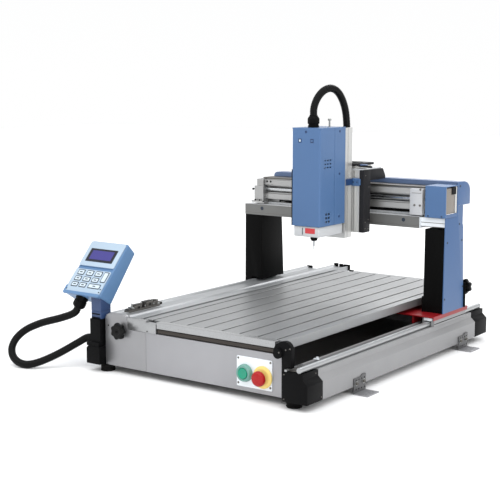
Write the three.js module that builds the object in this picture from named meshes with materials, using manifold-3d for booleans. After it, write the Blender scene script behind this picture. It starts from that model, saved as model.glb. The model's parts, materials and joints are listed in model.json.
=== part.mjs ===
// Desktop gantry CNC router: a fixed base and table, a gantry that travels along Y,
// a carriage that travels along X and a spindle head that travels along Z.
// Millimetres, +Z up, +Y from the control panel to the back, +X to the operator's right.
import * as THREE from 'three';
import { mergeVertices } from 'three/addons/utils/BufferGeometryUtils.js';
import Module from 'manifold-3d';

const wasm = await Module();
wasm.setup();

// ---------------------------------------------------------------- driving dimensions
const gap = 0.3; // space left between touching pieces

const baseDepth = 1003;
const baseLeft = -347;
const baseRight = 390;
const plateHalf = 297; // half the width of the front and rear plates
const plateThick = 14;
const plateTop = 109;
const capFront = -26;
const capDepth = { front: 72, rear: 84 };
const footHeight = 20;
const footRadius = 21;

const tableTop = 142;
const tableUnder = 119;
const tableFront = 20;
const tableDepth = 1040; // the table reaches past the rear plate
const tableBack = tableDepth - tableFront;
const bandBack = 1096;
const slotPitch = 58;
const slotMouth = 6.5;
const slotHead = 13;

const rodX = { left: -325, right: 364 };
const rodZ = 84;
const rodRadius = 7.5;

const legFront = 705;
const legBottom = 107.3;
const beamLow = 354;
const beamTop = 470;
const screwX = { y: 735, z: 437, radius: 6 };
const screwY = { x: 60, z: 66, radius: 8 };
const screwZ = { x: 62, y: 668, radius: 5 };

const headLeft = 16;
const headRight = 112;
const headFront = 460;
const headBack = 597.7;
const headBottom = 367;
const headTop = 650;
const spindle = { x: 64, y: 506 };

const hoseDiameter = 22;

// ---------------------------------------------------------------- finishes
const finish = (color, roughness, metalness) =>
  new THREE.MeshStandardMaterial({ color, roughness, metalness });
const aluminium = finish(0xb4b5b8, 0.42, 0.8);
const brightMetal = finish(0xd5d7d9, 0.25, 0.9);
const steel = finish(0x8d9093, 0.4, 0.85);
const bluePaint = finish(0x5479b0, 0.38, 0.1);
const blackMoulding = finish(0x1b1b1c, 0.5, 0.0);
const blackPaint = finish(0x121212, 0.45, 0.1);
const whitePaint = finish(0xe9eaee, 0.45, 0.0);
const redPaint = finish(0xa8202b, 0.45, 0.1);
const rubber = finish(0x161616, 0.85, 0.0);
const creamPaint = finish(0xcfc3ae, 0.5, 0.0);
const greenPlastic = finish(0x1f9a76, 0.35, 0.0);
const redPlastic = finish(0xc32a2c, 0.35, 0.0);
const yellowPlastic = finish(0xf0d060, 0.4, 0.0);
const palePanel = finish(0xc9dcee, 0.4, 0.0);

// ---------------------------------------------------------------- shape helpers
function slab([x0, x1], [y0, y1], [z0, z1]) {
  const geometry = new THREE.BoxGeometry(x1 - x0, y1 - y0, z1 - z0);
  return geometry.translate((x0 + x1) / 2, (y0 + y1) / 2, (z0 + z1) / 2);
}

function outline(points) {
  return new THREE.Shape(points.map(([u, v]) => new THREE.Vector2(u, v)));
}

// An outline drawn in the plane across one axis, extruded along that axis.
// Across X it holds (y, z), across Y it holds (x, z) and across Z it holds (x, y).
function prism(axis, shape, [from, to]) {
  const drawn = shape instanceof THREE.Shape ? shape : outline(shape);
  const options = { depth: to - from, bevelEnabled: false, curveSegments: 6 };
  const geometry = new THREE.ExtrudeGeometry(drawn, options);
  if (axis === 'x') {
    const turn = new THREE.Matrix4().makeBasis(
      new THREE.Vector3(0, 1, 0), new THREE.Vector3(0, 0, 1), new THREE.Vector3(1, 0, 0));
    return geometry.applyMatrix4(turn).translate(from, 0, 0);
  }
  if (axis === 'y') return geometry.rotateX(Math.PI / 2).translate(0, to, 0);
  return geometry.translate(0, 0, from);
}

function rod(axis, [u, v], radius, [from, to], sides = 24) {
  const geometry = new THREE.CylinderGeometry(radius, radius, to - from, sides);
  const middle = (from + to) / 2;
  if (axis === 'x') return geometry.rotateZ(Math.PI / 2).translate(middle, u, v);
  if (axis === 'y') return geometry.translate(u, middle, v);
  return geometry.rotateX(Math.PI / 2).translate(u, v, middle);
}

// A turned piece: its profile holds (radius, height) and it stands along one axis.
function turned(axis, [u, v, w], profile, sides = 28) {
  const points = profile.map(([radius, height]) => new THREE.Vector2(radius, height));
  const geometry = new THREE.LatheGeometry(points, sides);
  if (axis === 'z') geometry.rotateX(Math.PI / 2);
  if (axis === '-z') geometry.rotateX(-Math.PI / 2);
  if (axis === '-y') geometry.rotateX(Math.PI);
  return geometry.translate(u, v, w);
}

function tube(points, diameter, steps) {
  const curve = new THREE.CatmullRomCurve3(points.map((p) => new THREE.Vector3(...p)));
  const section = new THREE.Shape();
  section.absarc(0, 0, diameter / 2, 0, Math.PI * 2);
  const options = { steps, extrudePath: curve, curveSegments: 10 };
  return new THREE.ExtrudeGeometry(section, options);
}

function solid(geometry) {
  const bare = geometry.clone();
  bare.deleteAttribute('normal');
  bare.deleteAttribute('uv');
  const merged = mergeVertices(bare, 1e-4);
  const vertProperties = new Float32Array(merged.attributes.position.array);
  const triVerts = new Uint32Array(merged.index.array);
  return new wasm.Manifold(new wasm.Mesh({ numProp: 3, vertProperties, triVerts }));
}

function geometryOf(body) {
  const mesh = body.getMesh();
  const geometry = new THREE.BufferGeometry();
  geometry.setAttribute('position', new THREE.BufferAttribute(mesh.vertProperties, 3));
  geometry.setIndex(new THREE.BufferAttribute(mesh.triVerts, 1));
  geometry.computeVertexNormals();
  return geometry;
}

function join(...pieces) {
  return geometryOf(pieces.map(solid).reduce((whole, piece) => whole.add(piece)));
}

function cut(piece, ...holes) {
  return geometryOf(holes.map(solid).reduce((left, hole) => left.subtract(hole), solid(piece)));
}

function starOutline(lobes, radius) {
  const points = [];
  const steps = lobes * 6;
  for (let i = 0; i < steps; i += 1) {
    const angle = (i / steps) * Math.PI * 2;
    const reach = radius * (0.92 + 0.08 * Math.cos(lobes * angle));
    points.push([reach * Math.cos(angle), reach * Math.sin(angle)]);
  }
  return points;
}

// ---------------------------------------------------------------- assembly
const machine = new THREE.Group();

function body(name) {
  const group = new THREE.Group();
  group.name = name;
  machine.add(group);
  return group;
}

function put(group, name, geometry, material) {
  const mesh = new THREE.Mesh(geometry, material);
  mesh.name = name;
  group.add(mesh);
}

// ---------------------------------------------------------------- base frame
const base = body('base');

function endPlates() {
  const humpTop = 148;
  const humpRight = -216;
  const front = new THREE.Shape();
  front.moveTo(-plateHalf, 0);
  front.lineTo(plateHalf, 0);
  front.lineTo(plateHalf, plateTop);
  front.lineTo(humpRight, plateTop);
  front.lineTo(humpRight, 130);
  front.quadraticCurveTo(humpRight - 6, humpTop, humpRight - 34, humpTop);
  front.lineTo(-plateHalf + 26, humpTop);
  front.quadraticCurveTo(-plateHalf, humpTop - 2, -plateHalf, 132);
  put(base, 'front_plate', prism('y', front, [0, plateThick]), aluminium);
  const rear = slab([-plateHalf, plateHalf], [baseDepth - plateThick, baseDepth], [0, plateTop]);
  put(base, 'rear_plate', rear, aluminium);
}

function sideRails() {
  const start = capFront + capDepth.front + gap;
  const stop = baseDepth - capDepth.rear - gap;
  const rightProfile = [
    [322, 0], [baseRight, 0], [baseRight, 15], [387, 17], [387, 21], [baseRight, 23],
    [baseRight, 48], [376, 61], [376, 76], [329, 76], [329, 82], [322, 82],
  ];
  const chamber = (x, z) => slab(x, [start - 1, stop + 1], z);
  const lip = slab([322, 329], [capFront + 1, start + 1], [76 + gap, 82]);
  const shelf = slab([328, 354], [capFront + 12, start + 1], [76 + gap, 78.5]);
  const strap = slab([322, 329], [start, start + 8], [70, 82]);
  const rightRail = cut(
    join(prism('y', rightProfile, [start, stop]), lip, shelf, strap),
    chamber([328, 382], [6, 44]), chamber([334, 370], [50, 70]));
  put(base, 'right_rail', rightRail, aluminium);
  const leftProfile = [
    [-303, 0], [-303, 76], [baseLeft, 76], [baseLeft, 50], [baseLeft + 3, 48],
    [baseLeft + 3, 28], [baseLeft, 26], [baseLeft, 0],
  ];
  const leftRail = cut(
    prism('y', leftProfile, [start, stop]), chamber([-340, -309], [6, 44]),
    chamber([-340, -309], [50, 70]));
  put(base, 'left_rail', leftRail, aluminium);
  const rodBack = baseDepth - 6;
  const rightReach = [capFront + 2, rodBack];
  const leftReach = [start, rodBack];
  put(base, 'right_guide_rod', rod('y', [rodX.right, rodZ], rodRadius, rightReach), brightMetal);
  put(base, 'left_guide_rod', rod('y', [rodX.left, rodZ], rodRadius, leftReach), brightMetal);
}

function cornerCaps() {
  const inner = plateHalf + gap;
  const rightFrom = (x) => [
    [x, 0], [baseRight, 0], [baseRight, 48], [376, 61], [376, 76], [x, 76],
  ];
  const leftTop = { front: 52, rear: 64 };
  const places = { front: capFront, rear: baseDepth - capDepth.rear };
  for (const [end, y] of Object.entries(places)) {
    const span = [y, y + capDepth[end]];
    const top = leftTop[end];
    const left = [
      [-inner, 2], [-inner, top], [baseLeft + 6, top], [baseLeft, top - 6], [baseLeft, 2],
    ];
    const right = end === 'front'
      ? join(prism('y', rightFrom(316), span), slab([inner, 317], [-2, span[1]], [0, 76]))
      : prism('y', rightFrom(inner), span);
    put(base, `cap_${end}_right`, right, blackMoulding);
    put(base, `cap_${end}_left`, prism('y', left, span), blackMoulding);
  }
}

function feet() {
  const places = {
    front_left: [-301, 13], front_right: [329, 9], rear_left: [-301, 982], rear_right: [329, 975],
  };
  for (const [corner, [x, y]] of Object.entries(places)) {
    const profile = [
      [0, 0], [footRadius - 2, 0], [footRadius, 3],
      [footRadius - 2, footHeight - gap], [0, footHeight - gap],
    ];
    put(base, `foot_${corner}`, turned('z', [x, y, -footHeight], profile), rubber);
  }
}

function benchBrackets() {
  const metal = 3;
  const face = baseRight + gap;
  const reach = 434;
  const profile = [
    [face, -footHeight + gap], [reach, -footHeight + gap], [reach, -footHeight + gap + metal],
    [face + metal, -footHeight + gap + metal], [face + metal, 27], [face, 27],
  ];
  for (const [place, y] of [['front', 191], ['rear', 801]]) {
    const plate = prism('y', profile, [y, y + 60]);
    const holes = [];
    for (const along of [12, 30, 48]) {
      holes.push(rod('z', [reach - 14, y + along], 4, [-footHeight - 2, -footHeight + 6], 16));
      holes.push(rod('x', [y + along, 8], 3, [face - 2, face + metal + 2], 16));
    }
    put(base, `bench_bracket_${place}`, cut(plate, ...holes), steel);
  }
}

endPlates();
sideRails();
cornerCaps();
feet();
benchBrackets();

// ---------------------------------------------------------------- table
// Each plank carries four T slots whose mouths open upwards.
function plankProfile(left, right) {
  const points = [[left, tableTop], [left, tableUnder], [right, tableUnder], [right, tableTop]];
  const neckDepth = 5;
  const headDepth = 12;
  for (let i = 3; i >= 0; i -= 1) {
    const x = left + slotPitch * (i + 0.5);
    points.push(
      [x + slotMouth / 2, tableTop], [x + slotMouth / 2, tableTop - neckDepth],
      [x + slotHead / 2, tableTop - neckDepth], [x + slotHead / 2, tableTop - headDepth],
      [x - slotHead / 2, tableTop - headDepth], [x - slotHead / 2, tableTop - neckDepth],
      [x - slotMouth / 2, tableTop - neckDepth], [x - slotMouth / 2, tableTop]);
  }
  return points;
}

function table() {
  const plankWidth = slotPitch * 4;
  const tableRight = 297;
  for (const i of [0, 1]) {
    const right = tableRight - i * (plankWidth + gap);
    const name = i === 0 ? 'table_plank_right' : 'table_plank_left';
    const profile = plankProfile(right - plankWidth, right);
    put(base, name, prism('y', profile, [tableFront, tableBack]), aluminium);
  }
  const band = [
    [-300, 119], [-174, 119], [-174, 144], [-181, 144], [-184, 140], [-222, 139], [-226, 143],
    [-240, 143], [-243, 139], [-284, 139], [-288, 143.5], [-300, 143.5],
  ];
  const tail = [
    [-252, 124], [-174, 124], [-174, 144], [-181, 144], [-184, 140], [-222, 139], [-226, 143],
    [-240, 143], [-243, 139], [-252, 139],
  ];
  const bandBody = prism('y', band, [tableFront, tableBack]);
  put(base, 'side_band', join(bandBody, prism('y', tail, [tableBack - 1, bandBack])), aluminium);
  const width = [-111, 276.5];
  const ends = { front: (y) => y, rear: (y) => tableDepth - y };
  const bearerSpan = { front: [15, 46], rear: [baseDepth + gap, tableDepth - 15] };
  for (const [end, place] of Object.entries(ends)) {
    const reach = (y0, y1) => [place(y0), place(y1)].sort((a, b) => a - b);
    const lip = slab(width, reach(0, tableFront - gap), [124.2, tableTop]);
    const web = slab(width, reach(15, tableFront - gap), [100, 125]);
    const bearer = slab([-290, width[1]], bearerSpan[end], [84, tableUnder - gap]);
    put(base, `${end}_table_end`, join(lip, web, bearer), brightMetal);
  }
  const cover = join(
    slab([-215.6, -148], [0, 13], [plateTop + gap, 142]),
    slab([-149, -112], [-2, 13], [plateTop + gap, 137]));
  put(base, 'band_end_block', cover, whitePaint);
}

function rollerBracket() {
  const face = [-14, 14];
  const upright = [
    [306.5, 76.5], [321.7, 76.5], [321.7, 82.5], [335, 82.5], [335, 131], [331, 140],
    [324, 146.5], [314, 149], [303, 147], [297.4, 143], [297.4, 122], [306.5, 118],
  ];
  const arm = [
    [281, 113], [281, 126], [288, 138], [299, 144.5], [299, plateTop + gap], [283, plateTop + gap],
  ];
  const lobe = rod('y', [298, 117.5], 13, [-22, -0.5], 24);
  const bracket = join(prism('y', upright, [-14, 0]), prism('y', arm, face), lobe);
  put(base, 'roller_bracket', bracket, blackMoulding);
}

table();
rollerBracket();

const roller = body('front_roller');
put(roller, 'front_roller', rod('x', [7, 116.6], 6.8, [-111.5, 277.6], 20), steel);

// ---------------------------------------------------------------- Y drive
function yDrive() {
  const bolt = [[-28, 0], [-28, 56], [28, 56], [28, 0]];
  const motorShape = bolt.map(([u, v]) => [screwY.x + u, screwY.z - 28 + v]);
  const motor = join(
    prism('y', motorShape, [912, 956]),
    slab([screwY.x - 34, screwY.x + 34], [906, 912.5], [32, 101]),
    slab([screwY.x - 20, screwY.x + 20], [955, baseDepth - plateThick - gap], [40, 83]));
  put(base, 'y_motor', motor, blackPaint);
  const screw = body('y_screw');
  const place = [screwY.x, screwY.z];
  const reach = [plateThick + gap, 906 - gap];
  put(screw, 'y_leadscrew', rod('y', place, screwY.radius, reach), brightMetal);
}

yDrive();

// ---------------------------------------------------------------- operator controls
const startPlace = { x: 187, z: 49 };
const stopPlace = { x: 242, z: 45 };

function controls() {
  const panel = slab([160, 270], [-3, -gap], [12, 91]);
  put(base, 'control_plate', panel, whitePaint);
  const ring = turned('-y', [startPlace.x, -3 - gap, startPlace.z], [
    [14.5, 0], [23, 0], [23, 9], [21, 12], [15, 12], [14.5, 11], [14.5, 0],
  ], 32);
  put(base, 'start_button_guard', ring, greenPlastic);
  const collar = turned('-y', [stopPlace.x, -3 - gap, stopPlace.z], [
    [10, 0], [29, 0], [29, 3], [26, 6], [10, 6], [10, 0],
  ], 32);
  put(base, 'stop_button_collar', collar, yellowPlastic);
  const start = body('start_button');
  const startFace = turned('-y', [startPlace.x, -8, startPlace.z], [
    [0, 0], [14, 0], [14, 8.5], [12.5, 9.5], [0, 9.5],
  ], 24);
  put(start, 'start_button', startFace, greenPlastic);
  const stop = body('stop_button');
  const mushroom = turned('-y', [stopPlace.x, -9, stopPlace.z], [
    [0, 0], [9, 0], [9, 7], [18, 9], [20, 13], [19, 19], [14, 22], [0, 23],
  ], 32);
  put(stop, 'stop_button', mushroom, redPlastic);
}

// A star knob on its screw; its screw end touches the plane y.
function starKnob(x, y, z, towards) {
  const star = starOutline(7, 24).map(([u, v]) => [x + u, z + v]);
  const near = (distance) => y + towards * distance;
  const span = (a, b) => [Math.min(near(a), near(b)), Math.max(near(a), near(b))];
  return join(prism('y', star, span(8, 24)), rod('y', [x, z], 11, span(gap, 9), 20));
}

controls();
put(body('clamp_knob'), 'clamp_knob', starKnob(-235, 0, 104, -1), blackMoulding);

// ---------------------------------------------------------------- hold-down clamp on the band
function holdDownClamp() {
  const along = [46, 176];
  const bar = slab([-268, -246], along, [144, 152]);
  const lumps = [[57, 11, 156], [84, 17, 162], [124, 23, 166], [163, 12, 164]];
  const blocks = lumps.map(([y, half, top]) => slab([-266, -248], [y - half, y + half], [151, top]));
  put(base, 'hold_down_clamp', join(bar, ...blocks), steel);
}

holdDownClamp();

// ---------------------------------------------------------------- control pendant
const post = { left: -340, right: -303, front: -10, back: 30 };
const postFoot = 128;
const swivelHeight = 149; // the case turns on top of the post
const caseSpan = [-437, -300];
const glandRoot = new THREE.Vector3(-386, 3, 178);
const glandDirection = new THREE.Vector3(-0.29, -0.33, -0.9).normalize();
// Corners of the wedge-shaped case seen from the side: (y, z).
const caseCorners = {
  lowFront: [-20, 193], topFront: [104, 326.3], topBack: [134, 295.3], lowBack: [28, 162],
};

function pendant() {
  const lower = slab([baseLeft, -302], [-24, 46], [52.3, 64]);
  const upper = slab([post.left, -302], [-16, 46], [63, postFoot]);
  const inlet = rod('x', [2, 68], 13, [-352, post.left + 1], 20);
  put(base, 'pendant_base_block', join(lower, upper, inlet), blackMoulding);

  const postSection = [[post.left, post.right], [post.front, post.back]];
  put(base, 'pendant_post', slab(...postSection, [postFoot + gap, swivelHeight - gap]), bluePaint);

  const moving = body('pendant');
  const saddle = [
    [post.front, swivelHeight], [post.back, swivelHeight], [post.back, 170], [post.front, 192],
  ];
  const { lowFront, topFront, topBack, lowBack } = caseCorners;
  const shell = prism('x', [lowFront, lowBack, topBack, topFront], caseSpan);
  const along = new THREE.Vector2(topFront[0] - lowFront[0], topFront[1] - lowFront[1]).normalize();
  const facing = new THREE.Vector2(-along.y, along.x);
  const onFace = (distance, height) => [
    lowFront[0] + along.x * distance + facing.x * height,
    lowFront[1] + along.y * distance + facing.y * height,
  ];
  const plate = [onFace(18, gap), onFace(18, 4), onFace(178, 4), onFace(178, gap)].reverse();
  put(moving, 'pendant_faceplate', prism('x', plate, [caseSpan[0] + 4, caseSpan[1] - 4]), palePanel);
  const neck = new THREE.CylinderGeometry(18, 15, 42, 20);
  neck.applyQuaternion(new THREE.Quaternion().setFromUnitVectors(
    new THREE.Vector3(0, -1, 0), glandDirection));
  const neckMiddle = glandRoot.clone().addScaledVector(glandDirection, 9.5);
  neck.translate(neckMiddle.x, neckMiddle.y, neckMiddle.z);
  const foot = prism('x', saddle, [post.left, post.right]);
  put(moving, 'pendant_case', join(shell, neck, foot), bluePaint);
}

pendant();

// ---------------------------------------------------------------- gantry
const gantry = body('gantry');

// The legs taper: they are a little narrower along Y at the top than at the foot.
function leg(points) {
  const geometry = prism('y', points, [0, 1]);
  const position = geometry.attributes.position;
  for (let i = 0; i < position.count; i += 1) {
    const rise = (position.getZ(i) - 108) / 250;
    const front = legFront + 2 * rise;
    const back = 835 - 14 * rise;
    position.setY(i, front + position.getY(i) * (back - front));
  }
  geometry.computeVertexNormals();
  return geometry;
}

function gantryLegs() {
  const top = beamLow - gap;
  const right = [
    [316, legBottom], [384.7, legBottom], [384.7, top], [321, top], [321, 153], [316, 153],
  ];
  const hollowBack = [714, 820];
  const hollowTop = 344;
  const rightHollow = slab([325, 376], hollowBack, [legBottom - 2, hollowTop]);
  const knobPlate = join(
    slab([360, 384], [825, 839], [108, 182]), slab([360, 393], [835.3, 839], [108, 182]));
  put(gantry, 'right_leg', join(cut(leg(right), rightHollow), knobPlate), blackPaint);
  const left = [
    [-330, legBottom], [-304, legBottom], [-304, 149.7], [-285, 149.7], [-285, 144.5],
    [-265, 144.5], [-265, top], [-330, top],
  ];
  const leftHollow = join(
    slab([-322, -312], hollowBack, [legBottom - 2, 160]),
    slab([-322, -273], hollowBack, [157, hollowTop]));
  put(gantry, 'left_leg', cut(leg(left), leftHollow), blackPaint);
  const side = [
    [701, legBottom], [835, legBottom], [822, 358], [818, 362], [818, 418.5], [785.5, 418.5],
    [785.5, 489], [779.7, 489], [779.7, 387.5], [705, 387.5],
  ];
  put(gantry, 'right_leg_cover', prism('x', side, [385, 388]), bluePaint);
}

function underPlate() {
  const plate = slab([-340, 385.5], [648, 870], [103, 107]);
  const skirt = slab([383.4, 385.5], [648, 870], [95, 104]);
  const stiffener = slab([313, 317], [652, 866], [80, 104]);
  const nut = slab([screwY.x - 20, screwY.x + 20], [735, 790], [45, 104]);
  const bore = rod('y', [screwY.x, screwY.z], screwY.radius + gap, [730, 795]);
  put(gantry, 'under_plate', cut(join(plate, skirt, stiffener, nut), bore), redPaint);
  for (const [side, x] of Object.entries(rodX)) {
    const half = side === 'left' ? 15 : 19;
    const wide = rodRadius + 1;
    const profile = [
      [x - half, 77], [x - wide, 77], [x - wide, rodZ + wide], [x + wide, rodZ + wide],
      [x + wide, 77], [x + half, 77], [x + half, 103 - gap], [x - half, 103 - gap],
    ];
    put(gantry, `${side}_carriage`, prism('y', profile, [656, 862]), aluminium);
  }
}

function gantryBeam() {
  const bar = outline([[legFront, beamLow], [745, beamLow], [745, 388], [legFront, 388]]);
  bar.holes.push(outline([[708, 357], [708, 385], [742, 385], [742, 357]]));
  put(gantry, 'lower_bar', prism('x', bar, [-330, 302]), aluminium);
  const foot = slab([-330, 384.7], [745 + gap, 785], [beamLow, 386]);
  const face = [
    [785, 385], [785, beamTop], [738, beamTop], [738, 467], [726, 467], [726, 451], [738, 451],
    [738, 447], [756, 447], [756, 427], [738, 427], [738, 423], [726, 423], [726, 407],
    [738, 407], [738, 404], [752, 404], [752, 389], [752, 385],
  ].reverse();
  const endBlock = join(
    slab([-298, -263], [712, 739], [399, 447]),
    slab([-292, -267], [718, 739], [446, 469]));
  put(gantry, 'beam', join(foot, prism('x', face, [-290, 303]), endBlock), aluminium);
  const bearing = join(
    slab([267, 308], [710, 725.6], [392, 469]),
    slab([267, 302.7], [725, 750], [428, 446]));
  const bore = rod('x', [screwX.y, screwX.z], screwX.radius + gap, [262, 312]);
  put(gantry, 'x_screw_bearing', cut(bearing, bore), whitePaint);
  const outer = new THREE.Shape();
  outer.moveTo(786, 475);
  outer.lineTo(786, 489);
  outer.lineTo(815, 489);
  outer.bezierCurveTo(843, 489, 863, 477, 863, 454);
  outer.lineTo(863, 419);
  outer.lineTo(792, 419);
  const hollow = new THREE.Shape();
  hollow.moveTo(780, 421.5);
  hollow.lineTo(780, 474.8);
  hollow.lineTo(788.5, 474.8);
  hollow.lineTo(788.5, 486.5);
  hollow.lineTo(815, 486.5);
  hollow.bezierCurveTo(842, 486.5, 860.5, 475.5, 860.5, 454);
  hollow.lineTo(860.5, 421.5);
  const cover = cut(prism('x', outer, [-272, 388]), prism('x', hollow, [-269.5, 385.5]));
  put(gantry, 'rear_cover', cover, bluePaint);
}

function xMotor() {
  const sheet = [
    [703, 388.3], [706, 388.3], [706, 478.5], [779, 478.5], [779, 481], [703, 481],
  ];
  put(gantry, 'motor_cover', prism('x', sheet, [321, 388]), bluePaint);
  put(gantry, 'x_motor', slab([325, 387], [707, 778], [399, 477.5]), creamPaint);
}

gantryLegs();
underPlate();
gantryBeam();
xMotor();
put(body('leg_knob'), 'leg_knob', starKnob(382, 839, 168, 1), blackMoulding);

const xScrew = body('x_screw');
const screwSpan = [-263 + gap, 325 - gap];
put(xScrew, 'x_leadscrew', rod('x', [screwX.y, screwX.z], screwX.radius, screwSpan), brightMetal);

// ---------------------------------------------------------------- X carriage
const carriage = body('carriage');
const carriageWidth = [0, 150];
const carriageHeight = [335, 521];
const motorPlateZ = [533, 540];
const headRails = [38, 92];
const hoseSocket = { x: 90, y: 641, top: 556 };

// A guide block that wraps a rail: drawn as a channel open towards the rail.
function channel([u0, u1], [v0, v1], [slot0, slot1], depth) {
  return [
    [u0, v1], [u0, v0], [u1, v0], [u1, slot0], [depth, slot0], [depth, slot1], [u1, slot1], [u1, v1],
  ];
}

function xCarriage() {
  const wall = 8;
  const [left, right] = carriageWidth;
  const [low, top] = carriageHeight;
  const parts = [
    slab([left, right], [642, 655], [low, top]),
    slab([left, left + wall], [654, 700], [low, top]),
    slab([134, right], [654, 681], [low, top]),
    slab([124, 135], [654, 700], [low, top]),
    prism('x', [[654, 489], [772, 489], [772, 497], [755, top], [654, top]], [left, right]),
    slab([left + wall - 1, 125], [688, 700], [398, 476]),
    slab([54, 76], [699, 744], [429.5, 444.5]),
  ];
  for (const rail of [[451, 467], [407, 423]]) {
    const [z0, z1] = rail;
    const profile = channel([699, 737.5], [z0 - 6, z1 + 6], [z0 - 0.5, z1 + 0.5], 725.5);
    parts.push(prism('x', profile, [24, 108]));
  }
  for (const x of headRails) {
    const profile = channel([-643, -612], [x - 10.5, x + 10.5], [x - 6.5, x + 6.5], -622.5);
    const block = profile.map(([v, u]) => [u, -v]);
    parts.push(prism('z', block.reverse(), [350, 505]));
  }
  const frame = cut(
    join(...parts),
    slab([screwZ.x - 15, screwZ.x + 15], [640, 657], [low - 2, 488.5]),
    rod('z', [screwZ.x, screwZ.y], screwZ.radius + 0.5, [486, top + 2]),
    rod('x', [screwX.y, screwX.z], screwX.radius + gap, [50, 80]));
  put(carriage, 'carriage_frame', frame, blackPaint);
  const posts = [[24, 650], [120, 650], [24, 725], [120, 725]].map(
    ([x, y]) => rod('z', [x, y], 5, [top + gap, motorPlateZ[0] + 1], 12));
  const motor = join(
    slab([14, 130], [642.5, 735], motorPlateZ),
    slab([27.6, 102.4], [629, 643], motorPlateZ),
    slab(
      [screwZ.x - 17.5, screwZ.x + 17.5], [screwZ.y - 17.5, screwZ.y + 17.5],
      [motorPlateZ[1] - 1, 590]),
    rod('z', [hoseSocket.x, hoseSocket.y], 12, [motorPlateZ[1] - 1, hoseSocket.top], 20),
    ...posts);
  put(carriage, 'z_motor', motor, blackPaint);
  const screw = body('z_screw');
  const span = [carriageHeight[0] + 1, motorPlateZ[0] - gap];
  put(screw, 'z_leadscrew', rod('z', [screwZ.x, screwZ.y], screwZ.radius, span), brightMetal);
}

xCarriage();

// ---------------------------------------------------------------- spindle head
const head = body('head');
const gland = { x: 62, y: 502, top: 685 };
const housingBottom = 336;

function spindleHead() {
  const back = [598, 610];
  const nutArm = slab([screwZ.x - 12, screwZ.x + 12], [609, 684], [462, 476]);
  const slide = join(
    slab([18, headRight], back, [321, 647]),
    slab([18, 26], [609, 637], [321, 647]),
    slab([headRight - 8, headRight], [609, 637], [321, 647]),
    ...headRails.map((x) => slab([x - 6, x + 6], [609, 622], [321, 647])),
    nutArm);
  const bore = rod('z', [screwZ.x, screwZ.y], screwZ.radius + 0.5, [460, 478]);
  put(head, 'head_slide', cut(slide, bore), brightMetal);

  const wall = 2.5;
  const corner = 5;
  const shell = new THREE.Shape();
  shell.moveTo(headLeft, headBack);
  shell.lineTo(headLeft, headFront + corner);
  shell.absarc(headLeft + corner, headFront + corner, corner, Math.PI, Math.PI * 1.5);
  shell.absarc(headRight - corner, headFront + corner, corner, Math.PI * 1.5, Math.PI * 2);
  shell.lineTo(headRight, headBack);
  const hollow = slab(
    [headLeft + wall, headRight - wall], [headFront + wall, headBack + 5],
    [headBottom - 5, headTop - wall]);
  const neck = join(
    rod('z', [gland.x, gland.y], 16, [headTop - 1, 664], 20),
    rod('z', [gland.x, gland.y], 13, [663, gland.top], 20));
  const cover = cut(prism('z', shell, [headBottom, headTop]), hollow);
  put(head, 'head_cover', join(cover, neck), bluePaint);

  const housing = join(
    slab([21, 107], [464, 594], [housingBottom, headBottom - gap]),
    rod('z', [spindle.x, spindle.y], 38, [headBottom - 1, 600], 28),
    slab([40, 88], [540, 594], [headBottom - 1, 560]));
  const shaftBore = rod('z', [spindle.x, spindle.y], 9, [housingBottom - 2, 560], 20);
  put(head, 'spindle_housing', cut(housing, shaftBore), whitePaint);

  const tool = turned('z', [spindle.x, spindle.y, 0], [
    [0, 294], [2.8, 297], [2.8, 318], [7, 319], [11, 325], [11, 334], [8, 335.5], [8, 555], [0, 555],
  ], 20);
  put(body('spindle'), 'spindle_tool', tool, steel);
}

spindleHead();

// ---------------------------------------------------------------- hoses
const pendantHose = [
  [-395, -7.2, 150.2], [-398.5, -11.2, 139.6], [-409.5, -16, 131.5], [-429.6, -23, 123],
  [-456, -33, 114], [-488, -42, 104.5], [-521, -53, 91.5], [-549, -67, 75], [-567.5, -83, 52.5],
  [-570, -98, 28], [-554.5, -108.5, 6.5], [-526.5, -112.5, -6], [-499, -108, -8.9],
  [-474, -93, -3], [-451, -71, 8.5], [-429, -47, 23], [-409, -25.5, 38.5], [-390, -8, 53],
  [-371.5, 0.8, 65], [-361, 2, 68], [-352.4, 2, 68],
];
const headHose = [
  [62, 502, 685.5], [62, 502, 700], [63.5, 507, 718], [66.5, 520, 738], [72, 541, 755],
  [79, 565, 761.5], [84, 588, 755], [86, 608, 740], [87.5, 623, 719.5], [88.5, 634, 695],
  [89.5, 639.5, 662], [90, 641, 625], [90, 641, 590], [90, 641, 570], [90, 641, 556.5],
];
put(machine, 'pendant_hose', tube(pendantHose, hoseDiameter, 34), rubber);
put(machine, 'head_hose', tube(headHose, hoseDiameter, 26), rubber);

// The origin is on the bench, under the middle of everything but the hoses.
machine.updateMatrixWorld(true);
const bounds = new THREE.Box3();
machine.traverse((part) => {
  if (part.isMesh && !part.name.endsWith('_hose')) bounds.expandByObject(part);
});
const centre = bounds.getCenter(new THREE.Vector3());
machine.position.set(-centre.x, -centre.y, -bounds.min.z);

export default machine;
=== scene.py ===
import json
import math

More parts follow.
